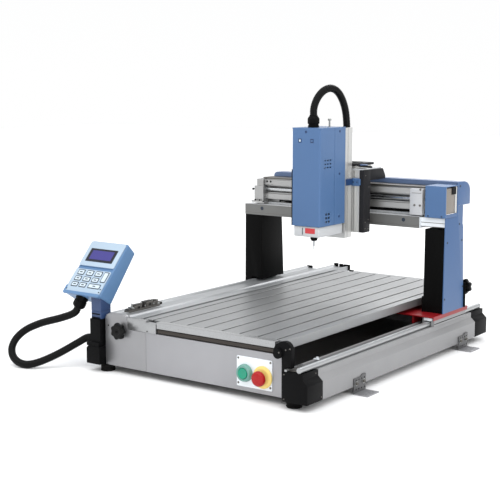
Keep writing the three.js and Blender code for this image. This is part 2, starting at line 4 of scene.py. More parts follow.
import bmesh
import bpy
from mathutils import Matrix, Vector

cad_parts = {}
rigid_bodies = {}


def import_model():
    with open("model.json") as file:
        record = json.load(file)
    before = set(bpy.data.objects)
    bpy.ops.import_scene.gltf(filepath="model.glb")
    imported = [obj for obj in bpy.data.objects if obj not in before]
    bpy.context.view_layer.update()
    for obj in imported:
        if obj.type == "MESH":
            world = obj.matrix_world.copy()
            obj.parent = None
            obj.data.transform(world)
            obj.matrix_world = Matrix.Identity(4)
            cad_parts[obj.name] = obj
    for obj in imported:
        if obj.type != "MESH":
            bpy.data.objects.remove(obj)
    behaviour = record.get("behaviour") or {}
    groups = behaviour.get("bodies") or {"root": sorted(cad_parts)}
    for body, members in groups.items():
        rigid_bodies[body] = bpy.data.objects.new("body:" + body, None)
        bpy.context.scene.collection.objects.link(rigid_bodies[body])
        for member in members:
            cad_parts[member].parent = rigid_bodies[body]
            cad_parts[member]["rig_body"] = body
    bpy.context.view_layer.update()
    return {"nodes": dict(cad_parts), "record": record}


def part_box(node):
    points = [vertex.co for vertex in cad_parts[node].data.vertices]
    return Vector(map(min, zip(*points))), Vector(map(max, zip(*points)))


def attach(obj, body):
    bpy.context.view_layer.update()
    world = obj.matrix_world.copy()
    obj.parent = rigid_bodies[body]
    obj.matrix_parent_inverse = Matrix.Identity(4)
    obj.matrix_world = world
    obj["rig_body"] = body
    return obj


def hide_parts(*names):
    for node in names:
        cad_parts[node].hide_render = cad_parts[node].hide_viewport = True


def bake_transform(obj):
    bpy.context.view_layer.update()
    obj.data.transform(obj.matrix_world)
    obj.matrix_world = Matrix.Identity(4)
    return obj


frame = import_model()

MM = 0.001
GAP = 0.3
SHARP_ANGLE = math.radians(21)
RIB_ANGLE = math.radians(50)
EDGE_ANGLE = 0.36

plate_low, plate_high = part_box("front_plate")
ORIGIN = Vector(((plate_low.x + plate_high.x) / 2, plate_low.y, plate_low.z))


def at(x, y, z):
    """A place given in millimetres of the machine, as a place in the frame."""
    return ORIGIN + Vector((x, y, z)) * MM


def local(place):
    """A place in the frame, in millimetres of the machine."""
    return (place - ORIGIN) / MM


def link(item):
    bpy.context.scene.collection.objects.link(item)
    return item


# ---------------------------------------------------------------- camera, floor and light
CAMERA_PLACE = (1893.1, -2339.5, 794.0)
CAMERA_TILT = 81.56
CAMERA_TURN = 35.9
LENS = 84.0
WORLD_STRENGTH = 1.0
ZENITH = (0.7, 0.71, 0.73, 1.0)
UPPER_SKY = (0.95, 0.96, 0.97, 1.0)


def make_camera():
    data = bpy.data.cameras.new("camera")
    data.lens = LENS
    data.sensor_width = 36.0
    camera = link(bpy.data.objects.new("camera", data))
    camera.location = at(*CAMERA_PLACE)
    camera.rotation_euler = (math.radians(CAMERA_TILT), 0.0, math.radians(CAMERA_TURN))
    bpy.context.scene.camera = camera


def make_world():
    """White at the horizon and a little greyer overhead."""
    world = bpy.data.worlds.new("studio")
    world.use_nodes = True
    tree = world.node_tree
    tree.nodes.clear()
    place = tree.nodes.new("ShaderNodeTexCoord")
    split = tree.nodes.new("ShaderNodeSeparateXYZ")
    ramp = tree.nodes.new("ShaderNodeValToRGB")
    background = tree.nodes.new("ShaderNodeBackground")
    output = tree.nodes.new("ShaderNodeOutputWorld")
    ramp.color_ramp.elements[0].position = 0.0
    ramp.color_ramp.elements[0].color = (1.0, 1.0, 1.0, 1.0)
    ramp.color_ramp.elements[1].position = 1.0
    ramp.color_ramp.elements[1].color = ZENITH
    mid = ramp.color_ramp.elements.new(0.35)
    mid.color = UPPER_SKY
    background.inputs["Strength"].default_value = WORLD_STRENGTH
    tree.links.new(place.outputs["Generated"], split.inputs[0])
    tree.links.new(split.outputs["Z"], ramp.inputs["Fac"])
    tree.links.new(ramp.outputs["Color"], background.inputs["Color"])
    tree.links.new(background.outputs[0], output.inputs[0])
    bpy.context.scene.world = world
    bpy.context.scene.view_settings.view_transform = "Standard"


def make_light(name, place, target, size, power):
    data = bpy.data.lights.new(name, "AREA")
    data.shape = "SQUARE"
    data.size = size
    data.energy = power
    light = link(bpy.data.objects.new(name, data))
    light.location = place
    light.rotation_euler = (Vector(target) - Vector(place)).to_track_quat("-Z", "Y").to_euler()


def make_sun(name, direction, strength, spread):
    data = bpy.data.lights.new(name, "SUN")
    data.energy = strength
    data.angle = math.radians(spread)
    light = link(bpy.data.objects.new(name, data))
    light.rotation_euler = Vector(direction).to_track_quat("-Z", "Y").to_euler()


make_camera()
make_world()
make_light("key", (-1.6, -2.6, 3.2), (0.0, 0.0, 0.2), 2.2, 24.0)
make_light("fill", (3.2, -1.2, 2.0), (0.0, 0.1, 0.3), 2.0, 28.0)
make_light("back", (-0.6, 3.0, 2.6), (0.0, 0.2, 0.3), 2.0, 40.0)
make_sun("sky", (-0.25, 0.35, -1.0), 1.3, 60)


# ---------------------------------------------------------------- materials
def linear(code):
    """A six-digit colour code as the linear colour a shader takes."""
    channels = [int(code[i:i + 2], 16) / 255 for i in (0, 2, 4)]
    return [c / 12.92 if c <= 0.04045 else ((c + 0.055) / 1.055) ** 2.4 for c in channels]


def surface(name, code, roughness, metallic=0.0, grain=(1, 1, 1), scale=300.0, tone=0.06,
            gloss=0.05, relief=0.0, cloud=0.05, cloud_scale=7.0, coat=0.0, specular=0.5):
    """A finish whose grain varies tone, gloss and relief, under slow clouds of tone.

    grain stretches the pattern: a small number draws it out along that axis."""
    material = bpy.data.materials.new(name)
    material.use_nodes = True
    tree = material.node_tree
    shader = tree.nodes["Principled BSDF"]
    color = linear(code)

    def noise(size, stretch, detail):
        place = tree.nodes.new("ShaderNodeTexCoord")
        mapping = tree.nodes.new("ShaderNodeMapping")
        mapping.inputs["Scale"].default_value = stretch
        pattern = tree.nodes.new("ShaderNodeTexNoise")
        pattern.inputs["Scale"].default_value = size
        pattern.inputs["Detail"].default_value = detail
        tree.links.new(place.outputs["Object"], mapping.inputs["Vector"])
        tree.links.new(mapping.outputs["Vector"], pattern.inputs["Vector"])
        return pattern.outputs["Fac"]

    def spread(value, low, high):
        node = tree.nodes.new("ShaderNodeMapRange")
        node.inputs["From Min"].default_value = 0.3
        node.inputs["From Max"].default_value = 0.7
        node.inputs["To Min"].default_value = low
        node.inputs["To Max"].default_value = high
        tree.links.new(value, node.inputs["Value"])
        return node.outputs["Result"]

    fine = noise(scale, grain, 4.0)
    slow = noise(cloud_scale, (1, 1, 1), 2.0)
    tones = tree.nodes.new("ShaderNodeMix")
    tones.data_type = "RGBA"
    tree.links.new(fine, tones.inputs["Factor"])
    tones.inputs[6].default_value = (*[c * (1 - tone) for c in color], 1)
    tones.inputs[7].default_value = (*[min(1, c * (1 + tone)) for c in color], 1)
    shaded = tree.nodes.new("ShaderNodeVectorMath")
    shaded.operation = "SCALE"
    tree.links.new(tones.outputs[2], shaded.inputs[0])
    tree.links.new(spread(slow, 1 - cloud, 1 + cloud), shaded.inputs["Scale"])
    tree.links.new(shaded.outputs[0], shader.inputs["Base Color"])
    tree.links.new(spread(fine, max(0.02, roughness - gloss), min(1, roughness + gloss)),
                   shader.inputs["Roughness"])
    shader.inputs["Metallic"].default_value = metallic
    shader.inputs["Coat Weight"].default_value = coat
    shader.inputs["Coat Roughness"].default_value = 0.15
    shader.inputs["Specular IOR Level"].default_value = specular
    if relief:
        bump = tree.nodes.new("ShaderNodeBump")
        bump.inputs["Strength"].default_value = 0.6
        bump.inputs["Distance"].default_value = relief
        tree.links.new(fine, bump.inputs["Height"])
        tree.links.new(bump.outputs["Normal"], shader.inputs["Normal"])
    return material


EVEN = (1, 1, 1)
ALONG_X = (0.02, 1, 1)
ALONG_Y = (1, 0.02, 1)
ALONG_Z = (1, 1, 0.02)

table_metal = surface("table_aluminium", "9b9c9d", 0.42, 0.75, ALONG_Y, 900, 0.07, 0.08, 2e-5)
rail_metal = surface("rail_aluminium", "919192", 0.5, 0.35, ALONG_Y, 700, 0.04, 0.06, 1e-5)
plate_metal = surface("plate_aluminium", "a2a2a5", 0.45, 0.7, ALONG_X, 800, 0.05, 0.06, 1.5e-5)
# A darker copy of the plate aluminium for the plate's hump: painted shade on one part of the same plate.
cheek_shaded_metal = surface("cheek_aluminium_painted_shade", "9b9b9d", 0.42, 0.75, ALONG_X, 800, 0.05, 0.06, 1.5e-5)
band_metal = surface("band_aluminium", "a4a6a8", 0.4, 0.6, ALONG_Y, 800, 0.05, 0.06, 1e-5)
beam_metal = surface("beam_aluminium", "a9a9a8", 0.36, 0.8, ALONG_X, 800, 0.06, 0.07, 1.5e-5)
bar_metal = surface("bar_aluminium", "757573", 0.45, 0.4, ALONG_X, 800, 0.06, 0.06, 1.5e-5)
bright_metal = surface("milled_aluminium", "a3a4a5", 0.3, 0.8, EVEN, 500, 0.04, 0.06, 1e-5)
pale_metal = surface("pale_milled_metal", "c8c9cb", 0.42, 0.2, ALONG_X, 600, 0.05, 0.06, 1e-5)
slide_metal = surface("slide_aluminium", "cbcbc9", 0.34, 0.75, ALONG_Z, 700, 0.06, 0.06, 1e-5)
ground_steel = surface("ground_steel", "a9abac", 0.34, 0.7, ALONG_Y, 1200, 0.04, 0.06)
screw_steel = surface("screw_thread_steel", "b8babc", 0.24, 1.0, EVEN, 600, 0.05, 0.05)
zinc_steel = surface("zinc_plate", "a4a6a4", 0.36, 0.85, EVEN, 260, 0.10, 0.09, 1e-5)
bracket_steel = surface("bracket_steel", "5c5c5d", 0.4, 0.5, EVEN, 160, 0.25, 0.1, 2e-5)
clamp_steel = surface("clamp_steel", "3b3937", 0.4, 0.5, EVEN, 300, 0.2, 0.1, 2e-5)
dull_steel = surface("dull_steel", "6f6c68", 0.42, 0.8, EVEN, 350, 0.12, 0.08, 2e-5)
# Dark brown on a low-metal roller: painted reflection, standing for the dark surroundings mirrored in the
# polished roller.
roller_steel = surface("roller_steel", "322c27", 0.42, 0.3, EVEN, 900, 0.06, 0.05)
tool_steel = surface("tool_steel", "9a9da0", 0.22, 1.0, EVEN, 500, 0.05, 0.05)
blue_paint = surface("blue_powder_coat", "486a96", 0.42, 0.0, EVEN, 1100, 0.03, 0.05, 3e-5, 0.03)
leg_blue = surface("leg_blue_powder_coat", "3b5c88", 0.42, 0.0, EVEN, 1100, 0.03, 0.05, 3e-5, 0.03)
rear_paint = surface("grey_blue_powder_coat", "5f7396", 0.4, 0.0, EVEN, 1100, 0.03, 0.05, 3e-5)
black_paint = surface("black_anodised", "2a2a2c", 0.42, 0.0, ALONG_Z, 500, 0.2, 0.07, 1e-5, specular=0.06)
black_plastic = surface("black_moulding", "0a0a0b", 0.5, 0.0, EVEN, 900, 0.2, 0.06, 4e-5, specular=0.08)
knob_plastic = surface("knob_moulding", "0a0a0a", 0.32, 0.0, EVEN, 700, 0.2, 0.05, 2e-5, specular=0.16)
# Grey-black tray colour: painted shade for the dark seen under the table through the side gaps.
shade_tray_paint = surface("painted_shade_tray", "585654", 0.55, 0.0, EVEN, 200, 0.2, 0.08, specular=0.2)
white_paint = surface("white_powder_coat", "c6c8ca", 0.42, 0.0, EVEN, 900, 0.02, 0.05, 2e-5, 0.02)
leg_black = surface("leg_black", "0b0b0b", 0.45, 0.0, ALONG_Z, 500, 0.2, 0.07, 1e-5, specular=0.05)
white_plastic = surface("white_plastic", "e9eef2", 0.35, 0.0, EVEN, 600, 0.01, 0.04, 0.0, 0.02)
red_paint = surface("red_powder_coat", "8c1219", 0.38, 0.0, EVEN, 900, 0.05, 0.05, 2e-5)
cream_paint = surface("cream_enamel", "7f7870", 0.42, 0.0, EVEN, 700, 0.03, 0.05, 2e-5)
rubber = surface("rubber", "0c0b0b", 0.7, 0.0, EVEN, 900, 0.2, 0.08, 5e-5, specular=0.12)
conduit_plastic = surface("conduit", "090909", 0.3, 0.0, EVEN, 500, 0.15, 0.06, 2e-5, specular=0.12)
green_plastic = surface("green_plastic", "69998f", 0.25, 0.0, EVEN, 500, 0.03, 0.04, 0.0, 0.03)
pale_green = surface("green_lens", "0f8e70", 0.22, 0.0, EVEN, 500, 0.03, 0.04, 0.0, 0.03)
red_plastic = surface("red_plastic", "a30f11", 0.3, 0.0, EVEN, 500, 0.03, 0.05, 0.0, 0.03, specular=0.35)
yellow_plastic = surface("yellow_plastic", "eed27a", 0.35, 0.0, EVEN, 500, 0.02, 0.05, 0.0, 0.02)
pendant_blue = surface("pendant_blue_plastic", "5a7fa8", 0.4, 0.0, EVEN, 1000, 0.03, 0.05, 3e-5, 0.03)
post_blue = surface("post_blue_paint", "294068", 0.42, 0.0, EVEN, 1000, 0.03, 0.05, 3e-5, 0.03)
pendant_pale = surface("pendant_pale_film", "a9bccd", 0.34, 0.0, EVEN, 900, 0.02, 0.04, 1e-5, 0.03)
key_film = surface("key_film", "cad8e1", 0.3, 0.0, EVEN, 700, 0.02, 0.04, 0.0, 0.02)
# Dark print colour, also laid as flat discs in the lower bar's bores, which is painted shade.
dark_line = surface("printed_dark_and_bore_shade", "1b2938", 0.4, 0.0, EVEN, 700, 0.05, 0.05)
printed_blue = surface("printed_blue", "1f3a63", 0.35, 0.0, EVEN, 700, 0.05, 0.05)
label_red = surface("red_label", "c8373c", 0.35, 0.0, EVEN, 700, 0.04, 0.05)
display_frame = surface("display_frame", "141724", 0.18, 0.0, EVEN, 500, 0.05, 0.04, 0.0, 0.03)
display_glass = surface("display_glass", "3c3880", 0.12, 0.0, EVEN, 900, 0.05, 0.03, 0.0, 0.05)
# Near-black for dark discs laid in holes and dimples, which is painted shade, and also for black screws and
# seam lines.
hole_shade_and_black = surface("hole_shade_and_black", "080808", 0.6, 0.0, EVEN, 300, 0.1, 0.05, specular=0.1)


# ---------------------------------------------------------------- mesh helpers
AXES = {
    "x": Vector((1, 0, 0)), "-x": Vector((-1, 0, 0)), "y": Vector((0, 1, 0)),
    "-y": Vector((0, -1, 0)), "z": Vector((0, 0, 1)), "-z": Vector((0, 0, -1)),
}


def mesh_of(name, solid):
    """Turns a solid into a mesh and frees the solid."""
    mesh = bpy.data.meshes.new(name)
    solid.to_mesh(mesh)
    solid.free()
    return mesh


def break_edges(solid, width, segments):
    """Rounds every edge of a solid that turns by more than a facet of a cylinder does."""
    if not width:
        return solid
    edges = [e for e in solid.edges if len(e.link_faces) == 2 and e.calc_face_angle(0) > EDGE_ANGLE]
    bmesh.ops.bevel(solid, geom=edges, offset=width * MM, offset_type="OFFSET",
                    segments=segments, profile=0.5, affect="EDGES", clamp_overlap=True)
    return solid


def extrude(solid, ring, shift):
    """Draws a ring of places out along a shift into a closed solid."""
    face = solid.faces.new([solid.verts.new(place) for place in ring])
    grown = bmesh.ops.extrude_face_region(solid, geom=[face])["geom"]
    moved = [item for item in grown if isinstance(item, bmesh.types.BMVert)]
    bmesh.ops.translate(solid, verts=moved, vec=shift)
    bmesh.ops.recalc_face_normals(solid, faces=solid.faces)


def skin(solid, rings):
    """Joins rings of places, first to last, and closes both ends."""
    rings = [[solid.verts.new(place) for place in ring] for ring in rings]
    for low, high in zip(rings, rings[1:]):
        for k in range(len(low)):
            j = (k + 1) % len(low)
            solid.faces.new([low[k], low[j], high[j], high[k]])
    solid.faces.new(list(reversed(rings[0])))
    solid.faces.new(rings[-1])
    bmesh.ops.recalc_face_normals(solid, faces=solid.faces)


def prism(axis, outline, span, bevel=0.5, segments=2):
    """An outline across one axis, drawn out along it.

    The outline's points are (y, z) across x, (x, z) across y and (x, y) across z."""
    order = {"x": lambda u, v, w: at(w, u, v), "y": lambda u, v, w: at(u, w, v),
             "z": lambda u, v, w: at(u, v, w)}[axis]
    solid = bmesh.new()
    extrude(solid, [order(u, v, span[0]) for u, v in outline], AXES[axis] * (span[1] - span[0]) * MM)
    return break_edges(solid, bevel, segments)


def block(x, y, z, bevel=0.5, segments=2):
    return prism("z", [(x[0], y[0]), (x[1], y[0]), (x[1], y[1]), (x[0], y[1])], z, bevel, segments)


def circle(center, radius, sides):
    angles = [i / sides * math.tau for i in range(sides)]
    return [(center[0] + radius * math.cos(a), center[1] + radius * math.sin(a)) for a in angles]


def rod(axis, center, radius, span, bevel=0.5, sides=32):
    return prism(axis, circle(center, radius, sides), span, bevel)


def rounded(x, y, radius, steps=4):
    """A rectangle outline with rounded corners."""
    corners = [(x[1] - radius, y[1] - radius, 0), (x[0] + radius, y[1] - radius, 1),
               (x[0] + radius, y[0] + radius, 2), (x[1] - radius, y[0] + radius, 3)]
    points = []
    for cx, cy, quarter in corners:
        for i in range(steps + 1):
            angle = (quarter + i / steps) * math.pi / 2
            points.append((cx + radius * math.cos(angle), cy + radius * math.sin(angle)))
    return points


def lathe(center, direction, profile, sides=36, reach=None):
    """Turns a profile of (radius, height) about a direction. reach(radius, angle) may shape it."""
    solid = bmesh.new()
    toward = AXES[direction] if isinstance(direction, str) else Vector(direction).normalized()
    turn = toward.to_track_quat("Z", "Y").to_matrix()
    rings = []
    for radius, height in profile:
        if radius < 1e-6:
            rings.append([solid.verts.new(at(*center) + turn @ Vector((0, 0, height)) * MM)])
            continue
        ring = []
        for i in range(sides):
            angle = i / sides * math.tau
            r = reach(radius, angle) if reach else radius
            ring.append(solid.verts.new(
                at(*center) + turn @ Vector((r * math.cos(angle), r * math.sin(angle), height)) * MM))
        rings.append(ring)
    pairs = list(zip(rings, rings[1:]))
    if len(rings[0]) > 1 and len(rings[-1]) > 1:
        pairs.append((rings[-1], rings[0]))
    for low, high in pairs:
        for i in range(sides):
            j = (i + 1) % sides
            corners = [low[i % len(low)], low[j % len(low)], high[j % len(high)], high[i % len(high)]]
            solid.faces.new(list(dict.fromkeys(corners)))
    bmesh.ops.recalc_face_normals(solid, faces=solid.faces)
    return solid


def socket_screw(center, direction, radius=3.0, height=2.4):
    """A cap screw's head with its hexagon socket."""
    socket = radius * 0.5

    def hexagon(r, angle):
        if abs(r - socket) > 1e-6:
            return r
        return socket / math.cos((angle + math.pi / 6) % (math.pi / 3) - math.pi / 6) * 0.9

    return lathe(center, direction, [
        (0, -0.2), (radius, -0.2), (radius, height - 0.4), (radius - 0.4, height),
        (socket, height), (socket, height * 0.35), (0, height * 0.35),
    ], 24, hexagon)


def button_screw(center, direction, radius=2.4, height=1.2):
    """A low round head with a shallow recess."""
    return lathe(center, direction, [
        (0, -0.2), (radius, -0.2), (radius, 0.2), (radius * 0.85, height * 0.75),
        (radius * 0.5, height), (radius * 0.4, height), (radius * 0.3, height * 0.4), (0, height * 0.4),
    ], 20)


def carve(solid, *tools):
    """Cuts solids out of a solid."""
    holder = [link(bpy.data.objects.new("carving", mesh_of("carving", part)))
              for part in (solid, *tools)]
    for tool in holder[1:]:
        modifier = holder[0].modifiers.new("cut", "BOOLEAN")
        modifier.operation = "DIFFERENCE"
        modifier.solver = "EXACT"
        modifier.object = tool
    bpy.context.view_layer.update()
    shaped = holder[0].evaluated_get(bpy.context.evaluated_depsgraph_get()).to_mesh()
    result = bmesh.new()
    result.from_mesh(shaped)
    for item in holder:
        mesh = item.data
        bpy.data.objects.remove(item)
        bpy.data.meshes.remove(mesh)
    return result


def coat(material, solids):
    return [(solid, material) for solid in solids]


def assemble(name, body, slot, *parts):
    """Joins (solid, material) pairs into one piece that moves with a body."""
    whole = bmesh.new()
    materials = []
    for solid, material in parts:
        if material not in materials:
            materials.append(material)
        for face in solid.faces:
            face.material_index = materials.index(material)
        scratch = mesh_of("scratch", solid)
        whole.from_mesh(scratch)
        bpy.data.meshes.remove(scratch)
    mesh = mesh_of(name, whole)
    for material in materials:
        mesh.materials.append(material)
    mesh.shade_smooth()
    mesh.set_sharp_from_angle(angle=SHARP_ANGLE)
    piece = link(bpy.data.objects.new(name, mesh))
    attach(piece, body)
    return piece


def node_solid(node, bevel=0.5, segments=2):
    """A copy of a CAD node's solid with its edges broken."""
    solid = bmesh.new()
    solid.from_mesh(frame["nodes"][node].data)
    bmesh.ops.remove_doubles(solid, verts=solid.verts, dist=1e-6)
    bmesh.ops.dissolve_limit(solid, angle_limit=math.radians(0.5), verts=solid.verts,
                             edges=solid.edges)
    for face in solid.faces:
        face.material_index = 0
    return break_edges(solid, bevel, segments)


SLOTS = {entry["node"]: entry["material_slot"] for entry in frame["record"]["subparts"]}


def refine(node, material, bevel=0.5, segments=2, extra=()):
    """Stands a finished copy of a CAD node in its place, with any extra (solid, material) pairs."""
    replace(node, (node_solid(node, bevel, segments), material), *extra)


def replace(node, *parts):
    """Stands given solids in a CAD node's place."""
    body = frame["nodes"][node]["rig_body"]
    piece = assemble(node + "_finished", body, SLOTS[node], *parts)
    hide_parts(node)


# ---------------------------------------------------------------- hoses
HOSE_DIAMETER = 22.0
RIB_PITCH = 4.4
RIB_DEPTH = 0.8
HOSE_SIDES = 20
PENDANT_HOSE = [
    (-395, -7.2, 150.2), (-398.5, -11.2, 139.6), (-409.5, -16, 131.5), (-429.6, -23, 123),
    (-456, -33, 114), (-488, -42, 104.5), (-521, -53, 91.5), (-549, -67, 75), (-567.5, -83, 52.5),
    (-570, -98, 28), (-554.5, -108.5, 6.5), (-526.5, -112.5, -6), (-499, -108, -8.9),
    (-474, -93, -3), (-451, -71, 8.5), (-429, -47, 23), (-409, -25.5, 38.5), (-390, -8, 53),
    (-371.5, 0.8, 65), (-361, 2, 68), (-352.4, 2, 68),
]
HEAD_HOSE = [
    (62, 502, 685.5), (62, 502, 700), (63.5, 507, 718), (66.5, 520, 738), (72, 541, 755),
    (79, 565, 761.5), (84, 588, 755), (86, 608, 740), (87.5, 623, 719.5), (88.5, 634, 695),
    (89.5, 639.5, 662), (90, 641, 625), (90, 641, 590), (90, 641, 570), (90, 641, 556.5),
]


def smooth_route(points, step):
    """A centripetal Catmull-Rom curve through the points, about one place every step."""
    points = [Vector(p) for p in points]
    ends = [points[0] * 2 - points[1], *points, points[-1] * 2 - points[-2]]
    places = []
    for before, start, stop, after in zip(ends, ends[1:], ends[2:], ends[3:]):
        knots = [0.0]
        for a, b in ((before, start), (start, stop), (stop, after)):
            knots.append(knots[-1] + (b - a).length ** 0.5)
        count = max(2, round((stop - start).length / step))
        for i in range(count):
            t = knots[1] + (knots[2] - knots[1]) * i / count
            row = [before, start, stop, after]
            for level in (1, 2, 3):
                row = [
                    (row[k] * (knots[k + level] - t) + row[k + 1] * (t - knots[k]))
                    / (knots[k + level] - knots[k])
                    for k in range(len(row) - 1)
                ]
            places.append(row[0])
    return [*places, points[-1]]


def evenly(places, step):
    """The same route with its places exactly a step apart."""
    result = [places[0]]
    left = step
    for a, b in zip(places, places[1:]):
        length = (b - a).length
        done = 0.0
        while length - done >= left:
            done += left
            result.append(a.lerp(b, done / length))
            left = step
        left -= length - done
    return [*result, places[-1]] if (result[-1] - places[-1]).length > step / 2 else result


def conduit(name, points):
    """A ribbed flexible conduit along a route, as one mesh."""
    route = evenly(smooth_route(points, 2.0), RIB_PITCH / 4)
    crest = HOSE_DIAMETER / 2
    ribs = (crest, crest, crest - RIB_DEPTH, crest - RIB_DEPTH)
    side = Vector((0, 0, 1)).cross(route[1] - route[0])
    side = side.normalized() if side.length > 1e-6 else Vector((1, 0, 0))
    rings = []
    for i, place in enumerate(route):
        ahead = route[min(i + 1, len(route) - 1)] - route[max(i - 1, 0)]
        side = (side - ahead.normalized() * side.dot(ahead.normalized())).normalized()
        across = ahead.normalized().cross(side)
        radius = ribs[i % 4]
        ring = []
        for k in range(HOSE_SIDES):
            angle = k / HOSE_SIDES * math.tau
            offset = side * math.cos(angle) * radius + across * math.sin(angle) * radius
            ring.append(at(*(place + offset)))
        rings.append(ring)
    solid = bmesh.new()
    skin(solid, rings)
    mesh = mesh_of(name, solid)
    mesh.materials.append(conduit_plastic)
    mesh.shade_smooth()
    mesh.set_sharp_from_angle(angle=RIB_ANGLE)
    piece = link(bpy.data.objects.new(name, mesh))
    length = sum((b - a).length for a, b in zip(route, route[1:])) * MM
    return piece, length, [at(*place) for place in route]


def make_hose(name, node, points):
    """A conduit on a fixed route between two bodies that stands for a CAD hose."""
    piece, length, path = conduit(name, points)
    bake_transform(piece)
    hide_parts(node)


make_hose("pendant_conduit", "pendant_hose", PENDANT_HOSE)
make_hose("head_conduit", "head_hose", HEAD_HOSE)


# ---------------------------------------------------------------- base frame
def base_frame():
    """The end plates, the side rails with their rods and caps, and a dark tray between them, a sheet laid
    in as painted shade under the table.
    """
    hump = [(-297, 0), (-149.2, 0), (-149.2, 108.8), (-216, 108.8), (-216, 130)]
    arc = [(-217.5, 138), (-221, 143.5), (-227, 146.6), (-236, 148)]
    left_round = [(-271, 148), (-283, 146.5), (-292, 142), (-296, 136), (-297, 130)]
    # The hump takes the darker copy of the plate's aluminium: painted shade.
    cheek = prism("y", [*hump, *arc, *left_round], (0, 14), 0.9, 3)
    main = block((-148.8, 297), (0, 14), (0, 109), 0.9, 3)
    # A thin dark disc on the plate: painted shade standing for a hole.
    hole = lathe((-285.5, 0, 112.3), "-y", [(0, 0.05), (2.4, 0.05), (2.4, 0.1), (0, 0.1)], 20)
    replace("front_plate", (cheek, cheek_shaded_metal), (main, plate_metal), (hole, hole_shade_and_black))
    refine("rear_plate", plate_metal, 0.9)
    y0, y1 = 46.3, 918.7
    side = [(322, 0), (390, 0), (390, 48), (376, 61), (376, 76), (329, 76), (329, 82), (322, 82)]
    clip = [block((323, 338), (104, 112), (82, 84.4), 0.6),
            rod("z", (333, 108), 3.4, (84, 89), 0.8, 16)]
    replace("right_rail", (prism("y", side, (y0, y1), 1.2, 3), rail_metal),
            (block((322, 329), (-25, 47), (76.3, 82), 0.7), bright_metal),
            (block((328.6, 354), (-14, 47), (76.3, 78.5)), dull_steel),
            *coat(white_plastic, clip))
    refine("left_rail", rail_metal, 0.7)
    for node in ("right_guide_rod", "left_guide_rod"):
        refine(node, ground_steel, 1.0)
    screws = [button_screw((321.5, -26, z), "-y", 1.9) for z in (69, 6.5)]
    sides = [button_screw((376, 34, 68), "x", 1.9), button_screw((390, 38, 9.1), "x", 1.9)]
    refine("cap_front_right", black_plastic, 1.4, 3, coat(dull_steel, screws + sides))
    for node in ("cap_front_left", "cap_rear_right", "cap_rear_left"):
        refine(node, black_plastic, 1.6, 3)
    # A dark tray and its folds under the table: painted shade standing for the dark inside the base.
    tray = block((-296.5, 321.5), (14.5, 988.5), (0.5, 3.5))
    folds = [block((296, 299), (60, 940), (3, 40), 0.4), block((-302.5, -299), (60, 940), (3, 60), 0.4)]
    assemble("under_table_shade_sheet", "base", "black_moulding", (tray, shade_tray_paint), *coat(shade_tray_paint, folds))


def feet():
    for node in ("foot_front_left", "foot_front_right", "foot_rear_left", "foot_rear_right"):
        low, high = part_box(node)
        center = local((low + high) / 2)
        height = (high.z - low.z) / MM
        profile = [(0, 0), (18, 0), (19.4, 0.6), (20.2, 2), (21, 4.5), (20.2, 7), (19.2, 8.2),
                   (19.2, 9.4), (20.4, 10.4), (20.4, height - 4), (19, height - 2.2),
                   (19, height), (0, height)]
        place = (center.x, center.y, local(low).z)
        replace(node, (lathe(place, "z", profile, 44), rubber))


def bench_brackets():
    for node, y in (("bench_bracket_front", 191), ("bench_bracket_rear", 801)):
        bolts = [socket_screw((394.3, y + along, 8), "x", 4.4, 3.6) for along in (12, 48)]
        washers = [lathe((393.3, y + along, 8), "x", [(0, 0), (6.6, 0), (6.6, 1.0), (0, 1.0)], 24)
                   for along in (12, 48)]
        foot = block((390.3, 434), (y, y + 60), (-19.7, -16.7), 0.6)
        foot = carve(foot, *[rod("z", (420, y + along), 4, (-22, -14), 0, 20) for along in (12, 30, 48)])
        upright = prism("x", [(y, -17), (y + 60, -17), (y + 60, 27), (y + 42, 27), (y + 36, 22), (y, 22)],
                        (390.4, 393.3))
        slots = [block((385, 398), (y + along - 2.6, y + along + 2.6), (z - 2.2, z + 2.2), 0)
                 for along in (10, 24, 38, 52) for z in (-8, 17)]
        upright = carve(upright, *slots)
        replace(node, (foot, plate_metal), (upright, bracket_steel), *coat(dull_steel, bolts),
                *coat(zinc_steel, washers))


def table():
    for node in ("table_plank_right", "table_plank_left"):
        refine(node, table_metal, 1.0)
    refine("side_band", band_metal)
    for node in ("front_table_end", "rear_table_end"):
        refine(node, bright_metal, 0.8)
    # A thin dark disc on the end block: painted shade standing for its hole.
    dark = lathe((-142.6, -2, 113.3), "-y", [(0, 0.02), (2.2, 0.02), (2.2, 0.12), (0, 0.12)], 20)
    refine("band_end_block", bright_metal, 1.4, 3, [(dark, hole_shade_and_black)])
    caps = [block((-295, -274), (1020.4, 1027), (134, 146.6), 1.4),
            block((-232, -217), (1096.4, 1105), (136, 150.4), 1.8, 3),
            block((-211, -197), (1096.4, 1103), (136, 149.6), 1.4),
            block((-195, -170), (1096.4, 1106), (128, 148.6), 2.0, 3),
            block((-136, -120), (1040.4, 1047), (132, 142.6), 1.2)]
    assemble("band_rear_caps", "base", "black_moulding", *coat(black_plastic, caps))


